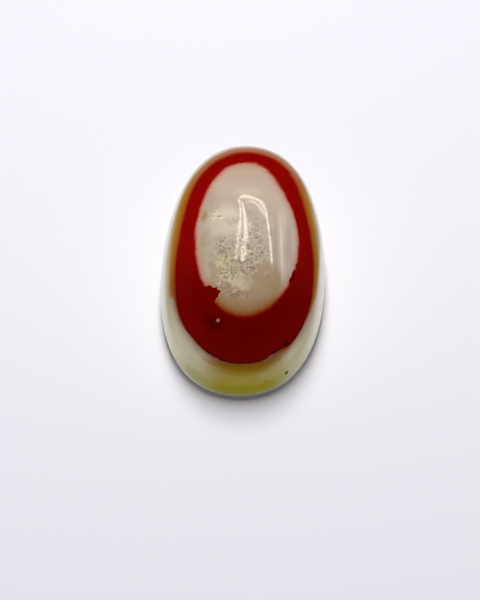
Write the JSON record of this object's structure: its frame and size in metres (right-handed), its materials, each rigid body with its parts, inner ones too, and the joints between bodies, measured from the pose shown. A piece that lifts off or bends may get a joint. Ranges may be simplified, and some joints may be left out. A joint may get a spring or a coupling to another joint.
{
  "type": "banded agate cabochon",
  "caption": "Loose oval cabochon of banded agate with a flat base and a high polished dome: milky base layer, thin orange line, wide deep red band and a pale grey eye on the crown.",
  "frame": {"origin": "centre of the stone's flat base", "axes": "+Z out of the flat base towards the top of the dome, +Y along the oval's length towards its slightly narrower end, +X across its width"},
  "size_m": [0.0108, 0.018, 0.0081],
  "materials": {
    "polished_agate": "polished, deep red with a pale grey eye and a milky base layer"
  },
  "bodies": {
    "root": {"agate_stone": "polished_agate"}
  },
  "joints": []
}
